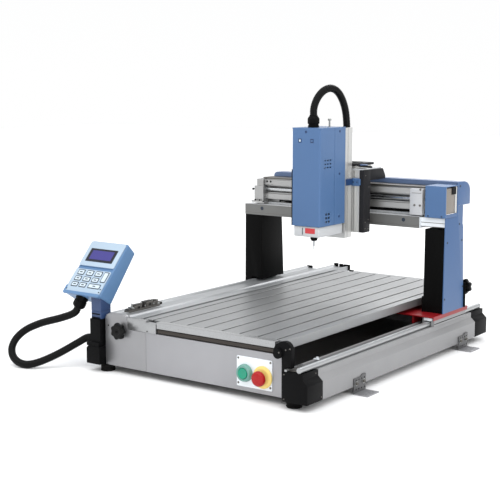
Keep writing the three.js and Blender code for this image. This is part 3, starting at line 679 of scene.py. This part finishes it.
def hold_down_clamp():
    def lump(y, z, x=(-266, -248), bevel=1.6):
        return block(x, y, z, bevel, 3)

    parts = [
        (lump((46, 176), (144.1, 149.5), (-268, -246), 1.0), dull_steel),
        (lump((47, 58), (149, 153.5)), clamp_steel),
        (lump((58, 70), (149, 152), (-262, -248)), dull_steel),
        (lump((70, 100), (149, 159.5)), dull_steel),
        (lump((74, 106), (157, 162), (-264, -250), 1.2), clamp_steel),
        (prism("x", [(107, 149), (114, 149), (118, 166), (111, 166)], (-264, -247), 1.4, 3), clamp_steel),
        (lump((119, 147), (149, 163)), dull_steel),
        (lump((121, 145), (162, 166), (-262, -250), 1.4), clamp_steel),
        (lump((151, 170), (149, 161)), dull_steel),
        (lump((166, 176), (149, 154), (-262, -247)), zinc_steel),
    ]
    knob = lathe((-257, 161, 158), "z", [(0, 0), (8, 0), (8.6, 1), (8.6, 5), (7.4, 6), (0, 6)], 14)
    parts.append((knob, clamp_steel))
    for y, z in ((85, 154), (133, 156)):
        cap = lathe((-248, y, z), "x", [(0, -1), (4.4, -1), (4.4, 1.4), (3.4, 2), (0, 2)], 20)
        # The dark disc in each cap: painted shade standing for its socket.
        dimple = lathe((-248, y, z), "x", [(0, 0), (2, 0), (2, 2.3), (0, 2.3)], 16)
        parts += [(cap, clamp_steel), (dimple, hole_shade_and_black)]
    parts.append((lump((176, 188), (146, 154), (-262, -248)), clamp_steel))
    for y in (64, 104, 149, 174):
        parts.append((rod("z", (-255, y), 2.4, (148, 167 if y < 170 else 163), 0.6, 14), zinc_steel))
    for y in (64, 112, 149):
        parts.append((rod("x", (y, 154), 2.6, (-267.6, -246.6), 0.5, 16), zinc_steel))
    replace("hold_down_clamp", *parts)


def roller():
    places = [(303, -22, 121), (318, -14, 128), (331, -14, 132)]
    extra = [(button_screw((x, y, z), "-y", 2.2, 1.2), dull_steel) for x, y, z in places]
    refine("roller_bracket", black_plastic, 1.6, 3, extra)
    left, right = [local(corner).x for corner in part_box("front_roller")]
    long = right - left
    profile = [(0, 0), (3, 0), (3, 4), (6.4, 4), (6.8, 4.6), (6.8, long - 4.6),
               (6.4, long - 4), (3, long - 4), (3, long), (0, long)]
    # The roller's dark brown colour is painted reflection.
    replace("front_roller", (lathe((left, 7, 116.6), "x", profile, 32), roller_steel))


def y_drive():
    refine("y_motor", black_paint, 1.0)
    refine("y_leadscrew", screw_steel, 0.6)


# ---------------------------------------------------------------- controls
def star(radius, angle):
    """Seven shallow lobes around the outer part of a knob."""
    return radius * (0.92 + 0.08 * math.cos(7 * angle)) if radius > 12 else radius


def star_knob(node, x, y, z, direction):
    profile = [(0, 0.3), (11, 0.3), (11, 7.5), (17, 7.8), (22, 8.6), (24, 11.5), (24, 19.5),
               (22.4, 22.6), (19, 24), (11, 24), (10, 23.2), (5.2, 23.2), (5, 22.4), (0, 22.4)]
    pin = lathe((x, y, z), direction, [(0, 22), (3.4, 22), (3.4, 23.4), (2.8, 23.9), (0, 23.9)], 24)
    replace(node, (lathe((x, y, z), direction, profile, 84, star), knob_plastic), (pin, black_plastic))


def controls():
    plate = prism("y", rounded((160, 270), (12, 91), 3), (-3, -0.3), 0.4)
    places = [(x, z) for x in (165, 265) for z in (20.5, 85.5)]
    heads = [(button_screw((x, -3, z), "-y", 2.9, 1.4), dull_steel) for x, z in places]
    replace("control_plate", (plate, white_plastic), *heads)
    ring = lathe((187, -3.3, 49), "-y", [
        (14.5, 0), (23, 0), (23, 3), (22.2, 4), (21.6, 9.4), (20.4, 11.4), (18.6, 12), (15.6, 12),
        (14.8, 11.2), (14.5, 9)], 56)
    replace("start_button_guard", (ring, green_plastic))
    face = lathe((187, -8, 49), "-y", [
        (0, 0), (14, 0), (14, 8), (13.4, 9.1), (12.2, 9.5), (9, 8.9), (0, 8.4)], 48)
    replace("start_button", (face, pale_green))
    collar = lathe((242, -3.3, 45), "-y", [
        (10, 0), (29, 0), (29, 2.4), (28.3, 3.4), (24, 5.4), (22.6, 6), (10, 6)], 56)
    replace("stop_button_collar", (collar, yellow_plastic))
    mushroom = lathe((242, -9, 45), "-y", [
        (0, 0), (9, 0), (9, 6.6), (14, 7.6), (18.4, 9.2), (19.7, 11), (20, 13.4), (19.6, 16.4),
        (18.2, 19.2), (15.6, 21.4), (12, 22.5), (6, 23), (0, 23)], 56)
    replace("stop_button", (mushroom, red_plastic))
    star_knob("clamp_knob", -235, 0, 104, "-y")


# ---------------------------------------------------------------- pendant
FACE_LOW = Vector((0, -20, 193))
FACE_ALONG = Vector((0, 124, 133.3)).normalized()
FACE_OUT = Vector((0, -133.3, 124)).normalized()


def on_face(x, along, out):
    """A place on the pendant: across, up its face, and out of its face."""
    return Vector((x, 0, 0)) + FACE_LOW + FACE_ALONG * along + FACE_OUT * out


def face_pad(x, along, out, corner, bevel=0.3, segments=2):
    """A rounded pad that lies on the pendant's face."""
    solid = bmesh.new()
    ring = [at(*on_face(u, v, out[0])) for u, v in rounded(x, along, corner)]
    extrude(solid, ring, FACE_OUT * (out[1] - out[0]) * MM)
    return break_edges(solid, bevel, segments)


def case_shell():
    """The wedge case, waisted by a shallow groove between its display and its keys."""
    low, back = Vector((0, -20, 193)), Vector((0, 28, 162))
    top, top_back = Vector((0, 104, 326.3)), Vector((0, 134, 295.3))
    span = (-437, -300)
    shell = prism("x", [(p.y, p.z) for p in (low, back, top_back, top)], span, 5.0, 5)
    start, end = [low + FACE_ALONG * t for t in (83.5, 92)]
    outside, inside = FACE_OUT * 6, FACE_OUT * 1.6
    corners = (start + outside, start - inside, end - inside, end + outside)
    cutter = prism("x", [(p.y, p.z) for p in corners], (-445, -292), 0)
    return carve(shell, cutter)


def key_pad(x, along, parts, mark):
    """One key of the film keypad: a dark outline, a raised pale key and its dark mark."""
    parts.append((face_pad(x, along, (3.2, 3.9), 3.2, 0.2), dark_line))
    inner = [(low + 2.6, high - 2.6) for low, high in (x, along)]
    parts.append((face_pad(*inner, (3.6, 4.6), 2, 0.4), key_film))
    if mark:
        middle = [sum(pair) / 2 for pair in (x, along)]
        parts.append((face_pad((middle[0] - mark, middle[0] + mark), (middle[1] - 1.5, middle[1] + 1.5),
                               (4.4, 4.8), 0.9, 0), dark_line))


def pendant():
    refine("pendant_base_block", black_plastic, 1.4, 3)
    hinge = [block((-336, -307), (-12.5, 32), (z, z + 3), 0.8) for z in (129.5, 140)]
    post = block((-340, -303), (-10, 30), (128.3, 148.7), 1.2, 3)
    replace("pendant_post", (post, post_blue), *coat(black_plastic, hinge))

    saddle = prism("x", [(-10, 149), (30, 149), (30, 170), (-10, 192)], (-340, -303), 1.2, 3)
    root = (-386, 3, 178)
    down = Vector((-0.29, -0.33, -0.9)).normalized()
    gland = lathe(root, down, [
        (0, -11), (17.6, -11), (17.6, 5), (16.4, 6), (16.4, 9), (18, 10.4), (18, 22), (16.8, 26),
        (14, 29.2), (12.4, 30.4), (0, 30.4)], 48,
        lambda radius, angle: radius * (1 + 0.03 * math.cos(8 * angle)) if radius > 16 else radius)
    screws = [face_pad((x - 2.4, x + 2.4), (t - 2.4, t + 2.4), (3.2, 3.7), 2.3, 0.2)
              for x, t in ((-430, 12), (-307, 12), (-307, 22))]
    replace("pendant_case", (case_shell(), pendant_blue), (saddle, post_blue), (gland, black_plastic))

    parts = [(face_pad((-434.5, -302.5), (93.5, 177), (GAP, 3.4), 4, 1.2, 3), pendant_pale),
             (face_pad((-434.5, -302.5), (4, 82), (GAP, 3.4), 4, 1.2, 3), pendant_pale),
             (face_pad((-436.5, -300.5), (-3, 6), (-1.5, 4.4), 3, 1.6, 3), pendant_blue),
             (face_pad((-437, -431), (0, 24), (0.6, 4.2), 2.4, 1.2, 3), pendant_blue)]
    parts += coat(dark_line, screws)
    parts.append((face_pad((-419.5, -317.5), (108.5, 153), (3.2, 4.3), 1.4, 0.3), display_frame))
    parts.append((face_pad((-409, -327), (116, 146.5), (4.2, 4.6), 1, 0.2), display_glass))
    rows = [
        (61, 79, ((-421, -396), (-388, -362), (-355, -329))),
        (41, 57, ((-421, -396), (-389, -362), (-356, -330))),
        (21, 37, ((-421, -396), (-391, -365), (-357, -312))),
    ]
    for low, high, spans in rows:
        for x in spans:
            key_pad(x, (low, high), parts, 5)
    key_pad((-324, -305), (44, 79), parts, 0)
    replace("pendant_faceplate", *parts)


# ---------------------------------------------------------------- gantry
def gantry_frame():
    refine("right_leg", leg_black, 1.2, 3)
    refine("left_leg", leg_black, 1.2, 3)
    places = [(719, 316), (815, 314), (709, 150), (827, 172), (795, 364), (795, 476)]
    sill = [(706, 387.9), (779.6, 387.9), (779.6, 398), (776, 398.6), (709, 398.6), (706, 396)]
    heads = [(button_screw((388, y, z), "x", 3.2, 1.4), dark_line) for y, z in places]
    sill = prism("x", sill, (385.2, 387.8))
    refine("right_leg_cover", leg_blue, 0.7, 2, [*heads, (sill, leg_blue)])
    refine("under_plate", red_paint, 0.8)
    for node in ("left_carriage", "right_carriage"):
        low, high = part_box(node)
        x = local((low + high) / 2).x
        ends = [(block((x - 13, x + 13), (y, y + 3), (93.5, 101.5), 0.6), white_plastic)
                for y in (652.6, 862.4)]
        line = (block((x + 18.9, x + 19.3), (656.4, 861.6), (82.5, 84.6), 0), hole_shade_and_black)
        refine(node, rail_metal, 0.6, 2, [*ends, line])
    star_knob("leg_knob", 382, 839, 168, "y")


def beam():
    bore = [(0, -0.1), (6, -0.1), (6, 0.12), (0, 0.12)]
    rim = [(6, -0.1), (7.4, -0.1), (7.4, 0.3), (6.6, 0.5), (6, 0.3)]
    # The bores are flat dark discs in a rim: painted shade standing for the holes.
    bores = [(lathe((x, 705, 376), "-y", bore, 24), dark_line) for x in (-263, 250)]
    rims = [(lathe((x, 705, 376), "-y", rim, 24), bar_metal) for x in (-263, 250)]
    line = (block((-329, 301), (704.8, 705.3), (360.6, 361.6), 0), dull_steel)
    refine("lower_bar", bar_metal, 0.9, 2, [*bores, *rims, line])
    refine("beam", beam_metal)
    # A thin steel strip under the rear cover, darker than the beam: painted shadow standing for the shade
    # below the cover.
    strip = block((-279, 303), (735, 785.6), (470.4, 474.4), 0.6)
    # The ledge, the plate on the bar's end, the inset and the strip on the bar's top are paler than the
    # bar's metal. This is painted highlight for light falling on them. The ledge and the inset are real
    # pieces. The end plate and the top strip are only highlight.
    ledge = block((-262, 303), (738.3, 751.6), (388.4, 395), 0.6)
    bar_end_highlight = block((302.3, 304), (706, 744), (355, 387), 0.4)
    inset = block((304.3, 384.4), (712, 744.6), (361, 386.4), 0.8)
    groove = block((304.3, 384.4), (711.6, 712.2), (371.5, 373), 0)
    bar_top_highlight = block((-328, 301), (706, 737.6), (387.7, 388.3), 0.2)
    assemble("beam_ledges_painted_light", "gantry", "aluminium", (ledge, white_paint), (bar_end_highlight, white_plastic),
             (inset, white_plastic), (groove, dull_steel), (bar_top_highlight, white_paint))
    assemble("beam_top_painted_shadow", "gantry", "aluminium", (strip, dull_steel))
    heads = [(socket_screw((x, 710, z), "-y", 3.2, 2.2), dull_steel)
             for x, z in ((302, 467.5), (283, 420.8), (301, 420.8))]
    seam = (block((276, 307), (704.6, 705.2), (456.6, 457.8), 0), dull_steel)
    refine("x_screw_bearing", pale_metal, 0.9, 3, [*heads, seam])
    knob = lathe((-298, 716, 436), "-x", [
        (0, -4), (1.6, -4), (1.6, 4.4), (2.8, 4.8), (3.4, 6), (3.4, 9), (2.8, 10), (0, 10)], 24)
    shoe = block((-306, -262.6), (706, 744), (394.5, 400), 1.0)
    shoe_screws = [button_screw((x, 707, 402), "-y", 3.0, 2.0) for x in (-291, -275)]
    rail_screws = [lathe((x, 726.2, 461.6), "-y", [(0, 0), (3.6, 0), (3.6, 0.5), (0, 0.5)], 20)
                   for x in (-258, -244)]
    marks = [block((x - 4, x + 4), (725.7, 726.4), (452.4, 453.8), 0) for x in (-254, -238)]
    assemble("beam_end_parts", "gantry", "aluminium", (knob, black_plastic), (shoe, beam_metal),
             *coat(hole_shade_and_black, shoe_screws + rail_screws),
             *coat(dull_steel, marks))
    rear_cover()
    refine("x_leadscrew", screw_steel)
    cable()


def rear_cover():
    """The thin cover along the beam's back, with its rounded left end closed."""
    crown = 13

    def bend(inset):
        """The cover's outline, drawn in by an inset."""
        top, back = 489 - inset, 863 - inset
        points = [(786, 475), (786, top), (815, top)]
        curve = [(815, top), (843 - inset, top), (back, 477 - inset), (back, 454)]
        for i in range(1, 11):
            t = i / 10
            weights = ((1 - t) ** 3, 3 * t * (1 - t) ** 2, 3 * t * t * (1 - t), t ** 3)
            points.append(tuple(sum(w * p[k] for w, p in zip(weights, curve)) for k in (0, 1)))
        return points + [(back, 419 + inset), (786, 419 + inset)]

    outer = bend(0)
    inner = [(788.5, 475), (788.5, 486.5), (815, 486.5)] + bend(2.5)[3:-2] + [(860.5, 419)]
    sheet = [(786, 475)] + outer[1:-1] + list(reversed(inner))
    long_part = prism("x", sheet, (-258, 385.6))
    end_right = prism("x", outer, (385.5, 388), 0.8, 3)
    rings = []
    for i in range(7):
        turn = i / 6 * math.pi / 2
        x = -272 + 14.2 * (1 - math.cos(turn))
        rings.append([at(x, y, z) for y, z in bend(crown * (1 - math.sin(turn)))])
    cap = bmesh.new()
    skin(cap, rings)
    replace("rear_cover", (long_part, rear_paint), (end_right, leg_blue), (cap, rear_paint))


def cable():
    """The black cable that lies in the beam's lower slot."""
    points = [(-222, 748, 399), (-214, 744, 403), (-200, 742, 401.5), (-190, 744, 399), (-60, 747, 399),
              (60, 747, 399.2), (160, 746, 399), (210, 744, 400), (264, 744, 399.5)]
    data = bpy.data.curves.new("beam_cable", "CURVE")
    data.dimensions = "3D"
    data.bevel_depth = 3.8 * MM
    data.bevel_resolution = 4
    data.use_fill_caps = True
    spline = data.splines.new("POLY")
    route = smooth_route(points, 8.0)
    spline.points.add(len(route) - 1)
    for point, place in zip(spline.points, route):
        point.co = (*at(*place), 1)
    data.materials.append(rubber)
    piece = link(bpy.data.objects.new("beam_cable", data))
    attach(piece, "gantry")


def x_motor():
    heads = [(button_screw((x, 703, 393), "-y", 2.4, 1.2), dark_line) for x in (331.4, 374.9)]
    refine("motor_cover", blue_paint, 0.7, 2, heads)
    plug = block((383, 387.6), (744, 770), (455, 476), 0.8)
    front = block((325, 386.6), (707, 712), (398.4, 477), 0.8)
    body = block((325.4, 385), (711.5, 767), (398.4, 475), 4.0, 3)
    back = block((325, 386.6), (766.5, 778), (398.4, 477), 1.2)
    replace("x_motor", (body, cream_paint), (front, cream_paint), (back, slide_metal),
            (plug, black_plastic))


# ---------------------------------------------------------------- carriage
HEAD_RAILS = (38, 92)


def carriage():
    """The black frame on the beam, its linear blocks, and the Z motor on its plate."""
    tall = (335, 521)
    blocks = []
    for x in HEAD_RAILS:
        for low, high in ((350, 423), (432, 505)):
            profile = [(x - 10.5, 642), (x - 10.5, 612), (x - 6.5, 612), (x - 6.5, 622.5), (x + 6.5, 622.5),
                       (x + 6.5, 612), (x + 10.5, 612), (x + 10.5, 642)]
            blocks.append((prism("z", profile, (low, high), 0.6), white_paint))
    face = [
        block((0, 111), (642.2, 646), tall, 0.6),
        block((111, 117.6), (644.6, 646), tall, 0.3),
        block((117.6, 134.4), (642, 646), tall, 0.6),
    ]
    crown = [(654, 489), (772, 489), (772, 499), (757, 521), (654, 521)]
    walls = [
        block((0, 134.4), (645.8, 655), tall, 1.0),
        block((134.2, 150), (642.6, 681), tall, 1.4, 3),
        block((0, 8), (654, 700), tall, 1.0),
        block((124, 135), (654, 700), tall, 1.0),
        prism("x", crown, (0.5, 149.5), 1.4, 3),
        block((7, 125), (688, 700), (398, 476), 0.8),
        block((54, 76), (699, 744), (444, 447), 0.4),
    ]
    for z0, z1 in ((451, 467), (407, 423)):
        profile = [(699, z1 + 6), (699, z0 - 6), (737.5, z0 - 6), (737.5, z0 - 0.5), (725.5, z0 - 0.5),
                   (725.5, z1 + 0.5), (737.5, z1 + 0.5), (737.5, z1 + 6)]
        for span in ((24, 62), (70, 108)):
            blocks.append((prism("x", profile, span), zinc_steel))
    places = [(652, 347), (670, 345), (652, 366), (670, 372), (652, 505), (672, 470)]
    heads = [(button_screw((150, y, z), "x", 2.0, 1.0), dull_steel) for y, z in places]
    replace("carriage_frame", *coat(slide_metal, face), *coat(black_paint, walls),
            *blocks, *heads)
    nut = lathe((78, 735, 437), "-x", [(6.5, 0), (14, 0), (14, 18), (6.5, 18)], 32)
    assemble("x_screw_nut", "carriage", "black_paint", (nut, zinc_steel))

    spacer = block((8, 146), (643, 752), (521.3, 524.5), 0.8)
    link = block((20, 124), (646, 730), (524.4, 533.2), 0.6)
    plate = block((14, 130), (642.5, 735), (533, 540), 1.2)
    tongue = block((27.6, 102.4), (629, 643), (533, 540), 0.8)
    motor = block((44.5, 79.5), (650.5, 685.5), (539, 588), 3.0, 3)
    rings = [block((44.2, 79.8), (650.2, 685.8), (z, z + 6), 3.0, 3) for z in (540, 583)]
    socket = lathe((90, 641, 540), "z", [(0, 0), (12, 0), (12, 13), (11.4, 16), (0, 16)], 32)
    arms = [
        prism("z", [(92, 664), (124, 656), (150, 648), (176, 632), (181, 636), (178, 642), (154, 660),
                    (128, 676), (96, 684)], (530, 535), 1.2, 3),
        block((100, 124), (658, 680), (534.8, 542), 1.6, 3),
    ]
    tab = block((124, 150), (652, 664), (534, 538), 0.8)
    parts = [(spacer, white_paint), (plate, black_paint), (tongue, black_paint), (motor, black_paint),
             (socket, black_plastic), (link, slide_metal), (tab, rear_paint)]
    parts += coat(black_plastic, arms)
    replace("z_motor", *parts, *coat(zinc_steel, rings))
    refine("z_leadscrew", screw_steel)
    clip = [block((108, 136), (637.5, 641.8), (474, 497), 1.4, 3),
            block((133, 139.5), (636, 641.8), (477, 495), 1.2, 3)]
    pins = [button_screw((x, 637.5, 485.5), "-y", 2.0, 1.0) for x in (117, 129)]
    assemble("cable_clip", "carriage", "blue_paint", *coat(blue_paint, clip),
             *coat(dark_line, pins))


# ---------------------------------------------------------------- spindle head
HEAD_LEFT, HEAD_RIGHT = 16, 112
HEAD_TALL = (367, 648)
SPINDLE = (64, 506)
SHEET = 2.5


def cover_shell(y0, y1):
    """The folded front sheet of the head, open at its back."""
    corner = 5
    turn = [(HEAD_LEFT + corner - corner * math.cos(a), y0 + corner - corner * math.sin(a))
            for a in [i * math.pi / 12 for i in range(7)]]
    mirrored = [(HEAD_LEFT + HEAD_RIGHT - x, y) for x, y in reversed(turn)]
    inner = [(HEAD_RIGHT - SHEET, y1), (HEAD_RIGHT - SHEET, y0 + SHEET),
             (HEAD_LEFT + SHEET, y0 + SHEET), (HEAD_LEFT + SHEET, y1)]
    outline = [(HEAD_LEFT, y1), *turn, *mirrored, (HEAD_RIGHT, y1), *inner]
    return prism("z", outline, HEAD_TALL)


def vent_cuts(x, half_wide, half_high, across, heights):
    """Cutters for a field of slots through a side of the head's cover."""
    return [block(x, (y - half_wide, y + half_wide), (z - half_high, z + half_high), 0)
            for y in across for z in heights]


def head():
    """The spindle head: its cover, the spindle in its housing, and the slide behind."""
    upper = (488, 502, 516), (536.5, 546.8, 557)
    vents = vent_cuts((105, 118), 4.4, 2.1, *upper)
    vents += vent_cuts((105, 118), 4.8, 3.3, (496, 510), (379.5, 390.5, 401.5))
    vents += vent_cuts((10, 23), 4.4, 2.1, *upper)
    front = carve(cover_shell(460, 538.4), *vents)
    sides = [block(x, (539.2, 597.7), HEAD_TALL)
             for x in ((HEAD_LEFT, HEAD_LEFT + SHEET), (HEAD_RIGHT - SHEET, HEAD_RIGHT))]
    top = block((16.2, 111.8), (460.2, 597.6), (647.4, 650), 0.9, 3)
    window = [(block((x - 5.4, x + 5.4), (459.3, 461), (607.8, 619.4), 0.4), printed_blue)
              for x in (43.4, 84.3)]
    lamps = [(block((40.9, 45.9), (458.9, 460.5), (610.6, 616.6)), key_film),
             (block((80.6, 88), (458.9, 460.5), (611, 616.2)), blue_paint)]
    heads = [(button_screw((64, 460, 639), "-y", 3.8, 1.3), printed_blue)]
    heads += [(button_screw((x, 566, z), side, 4.0, 1.3), printed_blue)
              for x, side in ((HEAD_RIGHT, "x"), (HEAD_LEFT, "-x")) for z in (390, 515, 638)]
    edge = block((14.2, 15.8), (461, 590), (367, 530), 0.4)
    pin = lathe((80, 560, 650), "z", [
        (0, 0), (2.6, 0), (2.6, 18), (5.2, 18.6), (5.2, 22.5), (4, 24), (0, 24)], 20)
    gland = lathe((62, 502, 650), "z", [
        (0, 0), (16, 0), (16, 6), (14.6, 7), (14.6, 10), (16.6, 11), (17, 12.6), (17, 25), (15.6, 28.4),
        (13, 31.6), (12, 32.6), (12, 35), (0, 35)], 48,
        lambda r, a: r * (1 + 0.03 * math.cos(8 * a)) if r > 16.5 else r)
    replace("head_cover", (front, blue_paint), *coat(blue_paint, sides), (top, blue_paint),
            (edge, black_paint), *window, *lamps, *heads, (pin, zinc_steel), (gland, black_plastic))

    lower = block((21, 107), (464, 594), (336, 366.7), 3.0, 3)
    lower = carve(lower, rod("z", SPINDLE, 12.5, (330, 345), 0))
    label = block((60.5, 94), (463.2, 464.5), (346.5, 362), 0.4)
    slit = block((50, 52.4), (463.4, 464.4), (342, 362), 0.2)
    barrel = rod("z", SPINDLE, 38, (366.4, 600), 1.5, 48)
    rear = block((40, 88), (540, 594), (366.4, 560), 1.0)
    nose = lathe((*SPINDLE, 336), "-z", [
        (9.2, -14), (12.3, -14), (12.3, 0), (11.6, 1.4), (9.2, 1.4)], 36)
    replace("spindle_housing", (lower, white_paint), (label, label_red), (slit, dark_line),
            (barrel, bright_metal), (rear, bright_metal), (nose, dull_steel))

    long = (321, 647)
    plate = block((18, 112), (598, 610), long, 0.8)
    flanges = [block(x, (609.8, 637), long, 0.8) for x in ((18, 26), (104, 112))]
    seam = block((111.7, 112.2), (612.4, 613.2), (323, 645), 0)
    ways = [block((x - 6, x + 6), (609.6, 622), long, 0.8) for x in HEAD_RAILS]
    arm = block((50, 74), (609, 684), (462, 476), 0.8)
    arm = carve(arm, rod("z", (62, 668), 5.6, (455, 480), 0))
    screws = [(socket_screw((x, 622, z), "y", 2.2, 0.4), dull_steel)
              for x in HEAD_RAILS for z in range(345, 640, 50)]
    screws.append((block((112.2, 115), (601, 636), (477, 496), 0.8), printed_blue))
    replace("head_slide", (plate, slide_metal), *coat(slide_metal, flanges),
            (seam, dull_steel), *coat(ground_steel, ways), (arm, black_paint), *screws)

    def fluted(radius, angle):
        return radius * (1 + 0.03 * math.cos(12 * angle)) if 10.1 < radius < 10.7 else radius

    collet = lathe((*SPINDLE, 294), "z", [
        (0, 26), (6.4, 26), (8.6, 27.4), (10.2, 30.5), (10.6, 33), (10.6, 40), (9.6, 41.4), (8, 41.4),
        (8, 261), (0, 261)], 40, fluted)
    cutter = lathe((*SPINDLE, 294), "z", [
        (0, 0), (1.2, 0.5), (1.5, 11), (2.7, 13), (2.8, 26.5), (0, 26.5)], 20)
    replace("spindle_tool", (collet, black_plastic), (cutter, tool_steel))


base_frame()
feet()
bench_brackets()
table()
hold_down_clamp()
roller()
y_drive()
controls()
pendant()
gantry_frame()
beam()
x_motor()
carriage()
head()


# ---------------------------------------------------------------- floor
def floor():
    paper = surface("floor_paper", "fafafa", 0.9, 0.0, EVEN, 20, 0.005, 0.02, 0.0, 0.005)
    half = 12.0
    corners = [(-half, -half), (half, -half), (half, half), (-half, half)]
    sheet = bmesh.new()
    sheet.faces.new([sheet.verts.new((x, y, 0.0)) for x, y in corners])
    data = mesh_of("floor", sheet)
    data.materials.append(paper)
    link(bpy.data.objects.new("floor", data))


floor()
